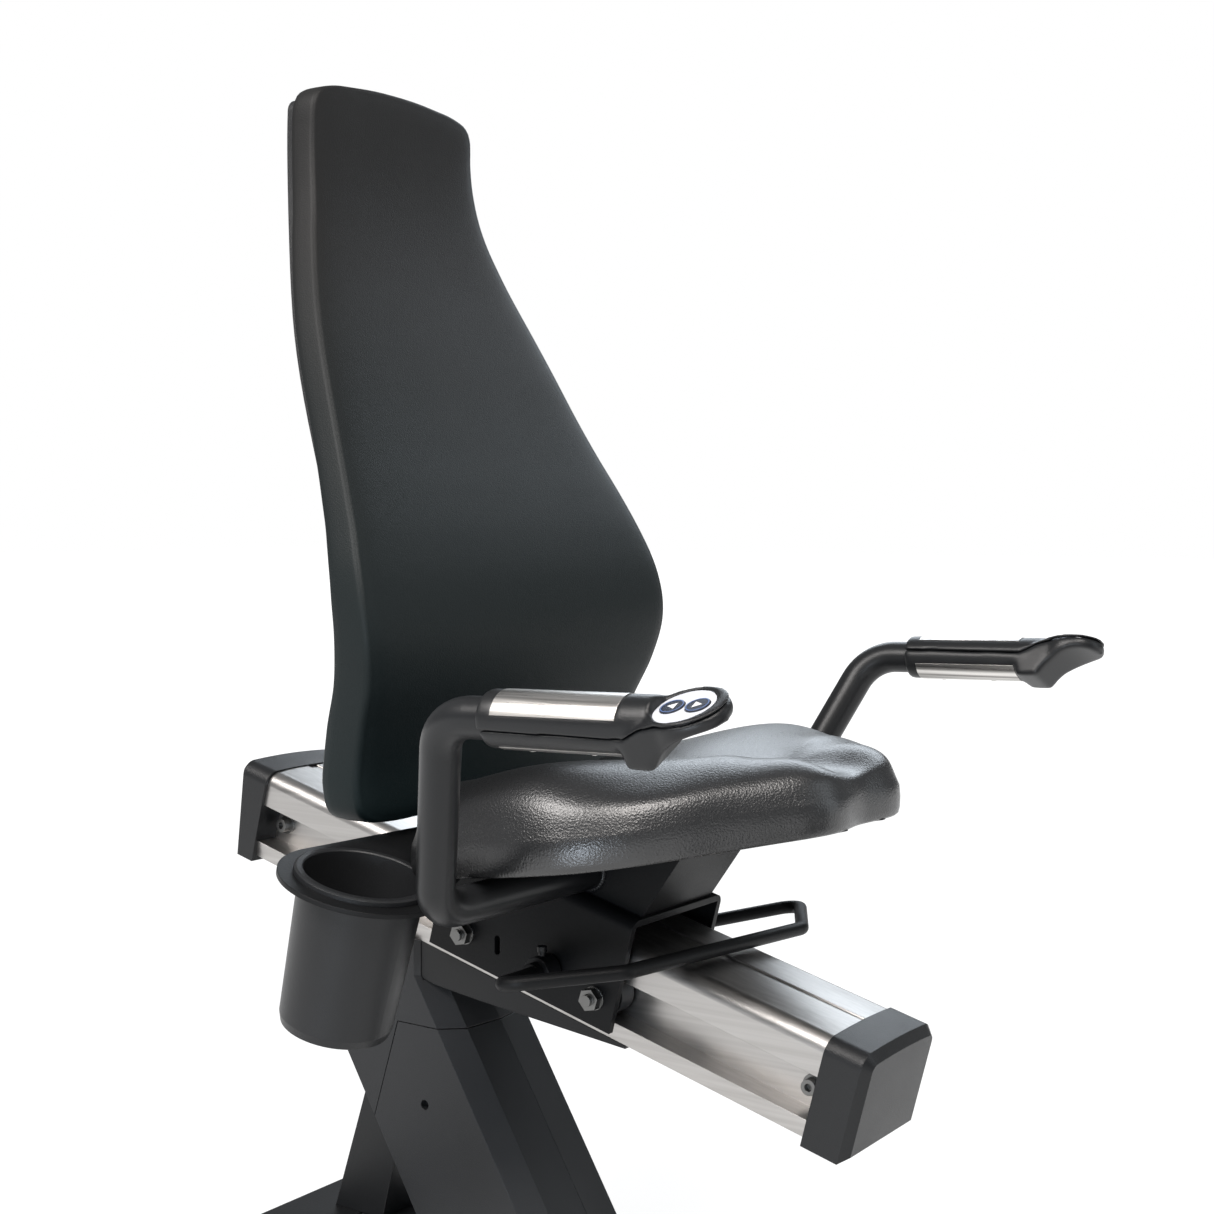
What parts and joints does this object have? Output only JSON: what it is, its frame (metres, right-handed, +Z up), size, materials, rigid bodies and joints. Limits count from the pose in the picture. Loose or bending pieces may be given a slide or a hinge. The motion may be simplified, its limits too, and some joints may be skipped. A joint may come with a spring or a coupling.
{
  "type": "recumbent exercise bike",
  "caption": "Recumbent exercise bike: a padded bucket seat on an inclined sliding rail, side armrests with thumb keys, a cup holder, and a pedal housing with a console on a mast.",
  "frame": {"origin": "on the floor, under the middle of the bike's length and width", "axes": "+X the way the rider faces, +Y the rider's left, +Z up"},
  "size_m": [1.5515, 0.7156, 1.3999],
  "materials": {
    "frame_paint": "satin black powder coat",
    "foot_rubber": "matt black rubber and moulded end caps",
    "shroud_plastic": "charcoal moulded plastic, satin",
    "rail_aluminium": "satin anodised extrusion",
    "cap_plastic": "black moulded plastic",
    "carriage_coat": "black powder coat",
    "zinc_hardware": "zinc-plated fasteners",
    "lever_collar_coat": "black",
    "tube_coat": "satin charcoal powder coat",
    "vinyl_seat": "pebbled black vinyl over foam",
    "vinyl_back": "fine-grained black vinyl over foam",
    "shell_plastic": "black moulded plastic",
    "grip_plastic": "black moulded plastic, fine texture",
    "brushed_plate": "brushed stainless steel",
    "keypad_plastic": "light grey overlay",
    "button_plastic": "dark moulded buttons",
    "cup_plastic": "charcoal moulded plastic",
    "roller_nylon": "black nylon",
    "bearing_steel": "ground steel",
    "crank_steel": "black forged steel",
    "cast_iron": "turned cast iron",
    "pulley_plastic": "black glass-filled nylon",
    "belt_rubber": "ribbed rubber belt",
    "magnet_block": "plated magnet shoe",
    "pedal_plastic": "black moulded plastic",
    "strap_rubber": "flexible strap",
    "wheel_plastic": "black rubber tyre on a hub",
    "console_plastic": "charcoal moulded plastic",
    "screen_glass": "dark glass front, nothing shown on it"
  },
  "bodies": {
    "bike_frame": {"base_beam": "frame_paint", "rear_stabilizer": "frame_paint", "front_stabilizer": "frame_paint", "stabilizer_feet": "foot_rubber", "main_leg": "frame_paint", "leg_shroud_left": "shroud_plastic", "leg_shroud_right": "shroud_plastic", "leg_collar": "shroud_plastic", "rear_leg": "frame_paint", "rail_bracket": "frame_paint", "rail": "rail_aluminium", "rail_cap_front": "cap_plastic", "rail_cap_rear": "cap_plastic", "socket_screws": "zinc_hardware", "housing_left": "shroud_plastic", "housing_right": "shroud_plastic", "drive_frame": "frame_paint", "drive_bearings": "bearing_steel", "drive_belt": "belt_rubber", "brake_magnets": "magnet_block", "console_mast": "frame_paint", "console_body": "console_plastic", "console_screen": "screen_glass", "front_handlebar": "tube_coat"},
    "seat": {"saddle": "carriage_coat", "roller_bolts": "zinc_hardware", "seat_post": "carriage_coat", "seat_pan": "shell_plastic", "seat_cushion": "vinyl_seat", "back_frame": "carriage_coat", "back_shell": "shell_plastic", "back_cushion": "vinyl_back", "handle_tube_left": "tube_coat", "handle_tube_right": "tube_coat", "grip_upper_left": "grip_plastic", "grip_upper_right": "grip_plastic", "grip_lower_left": "grip_plastic", "grip_lower_right": "grip_plastic", "pulse_plates": "brushed_plate", "keypads": "keypad_plastic", "cup_bracket": "carriage_coat", "cup_holder": "cup_plastic"},
    "roller_pair_rear": {"rollers_rear": "roller_nylon"},
    "roller_pair_front": {"rollers_front": "roller_nylon"},
    "lever": {"lever_bail": "carriage_coat", "lever_collars": "lever_collar_coat"},
    "thumb_button_right_rear": {"button_right_rear": "button_plastic"},
    "thumb_button_right_front": {"button_right_front": "button_plastic"},
    "thumb_button_left_rear": {"button_left_rear": "button_plastic"},
    "thumb_button_left_front": {"button_left_front": "button_plastic"},
    "crank": {"crank_axle": "bearing_steel", "crank_arm_left": "crank_steel", "crank_arm_right": "crank_steel", "drive_pulley": "pulley_plastic"},
    "flywheel_rotor": {"flywheel": "cast_iron"},
    "pedal_unit_left": {"pedal_left": "pedal_plastic", "pedal_strap_left": "strap_rubber"},
    "pedal_unit_right": {"pedal_right": "pedal_plastic", "pedal_strap_right": "strap_rubber"},
    "wheels": {"transport_wheels": "wheel_plastic"}
  },
  "joints": [
    {"name": "seat_slide", "type": "slide", "parent": "bike_frame", "child": "seat", "axis": [0.9677, 0, -0.2521], "range_m": [-0.21, 0.15]},
    {"name": "rear_rollers_spin", "type": "hinge", "parent": "seat", "child": "roller_pair_rear", "pos_m": [-0.47443, 0, 0.35829], "axis": [0, 1, 0], "range_deg": [-700, 520]},
    {"name": "front_rollers_spin", "type": "hinge", "parent": "seat", "child": "roller_pair_front", "pos_m": [-0.33508, 0, 0.32199], "axis": [0, 1, 0], "range_deg": [-700, 520]},
    {"name": "lever_lift", "type": "hinge", "parent": "seat", "child": "lever", "pos_m": [-0.38035, 0, 0.34102], "axis": [0, -1, 0], "range_deg": [0, 18], "stiffness_Nm_per_rad": 6, "springref_deg": -25.78},
    {"name": "button_right_rear_press", "type": "slide", "parent": "seat", "child": "thumb_button_right_rear", "axis": [0.1034, 0.4067, -0.9077], "range_m": [0, 0.001], "stiffness_N_per_m": 800},
    {"name": "button_right_front_press", "type": "slide", "parent": "seat", "child": "thumb_button_right_front", "axis": [0.1034, 0.4067, -0.9077], "range_m": [0, 0.001], "stiffness_N_per_m": 800},
    {"name": "button_left_rear_press", "type": "slide", "parent": "seat", "child": "thumb_button_left_rear", "axis": [0.1034, -0.4067, -0.9077], "range_m": [0, 0.001], "stiffness_N_per_m": 800},
    {"name": "button_left_front_press", "type": "slide", "parent": "seat", "child": "thumb_button_left_front", "axis": [0.1034, -0.4067, -0.9077], "range_m": [0, 0.001], "stiffness_N_per_m": 800},
    {"name": "flywheel_spin", "type": "hinge", "parent": "bike_frame", "child": "flywheel_rotor", "pos_m": [0.6257, 0, 0.34], "axis": [0, 1, 0], "continuous": true},
    {"name": "crank_spin", "type": "hinge", "parent": "bike_frame", "child": "crank", "pos_m": [0.4257, 0, 0.38], "axis": [0, 1, 0], "continuous": true},
    {"name": "pedal_left_spin", "type": "hinge", "parent": "crank", "child": "pedal_unit_left", "pos_m": [0.4257, 0.161, 0.55], "axis": [0, 1, 0], "continuous": true},
    {"name": "pedal_right_spin", "type": "hinge", "parent": "crank", "child": "pedal_unit_right", "pos_m": [0.4257, -0.161, 0.21], "axis": [0, 1, 0], "continuous": true},
    {"name": "wheels_spin", "type": "hinge", "parent": "bike_frame", "child": "wheels", "pos_m": [0.7457, 0, 0.036], "axis": [0, 1, 0], "continuous": true}
  ],
  "couplings": [
    {"joint": "rear_rollers_spin", "follows": "seat_slide", "rad_per_m": 54.945},
    {"joint": "front_rollers_spin", "follows": "seat_slide", "rad_per_m": 54.945},
    {"joint": "crank_spin", "follows": "flywheel_spin", "ratio": 0.16667}
  ]
}
